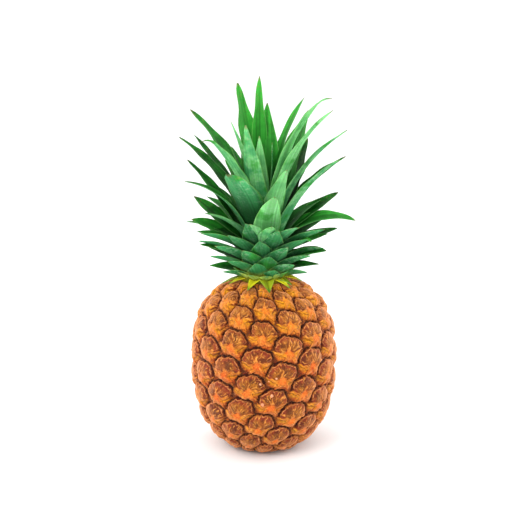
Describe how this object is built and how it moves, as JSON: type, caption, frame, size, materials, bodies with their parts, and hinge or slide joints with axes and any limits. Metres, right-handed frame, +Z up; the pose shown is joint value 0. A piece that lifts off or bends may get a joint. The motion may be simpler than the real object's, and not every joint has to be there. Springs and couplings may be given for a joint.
{
  "type": "pineapple",
  "caption": "Ripe pineapple standing on its flat base, with spirals of raised eyes and a tall spreading crown of channelled leaves",
  "frame": {"origin": "centre of the flat base that the pineapple stands on, on the resting plane", "axes": "+Z up along the fruit's axis, the pictured front towards -Y, +X to the right of that view"},
  "size_m": [0.1499, 0.129, 0.3206],
  "materials": {
    "fruit_skin": "satin",
    "leaf_green": "satin",
    "stalk_fibre": "matte"
  },
  "bodies": {
    "root": {"fruit": "fruit_skin", "crown": "leaf_green", "stalk": "stalk_fibre"}
  },
  "joints": []
}
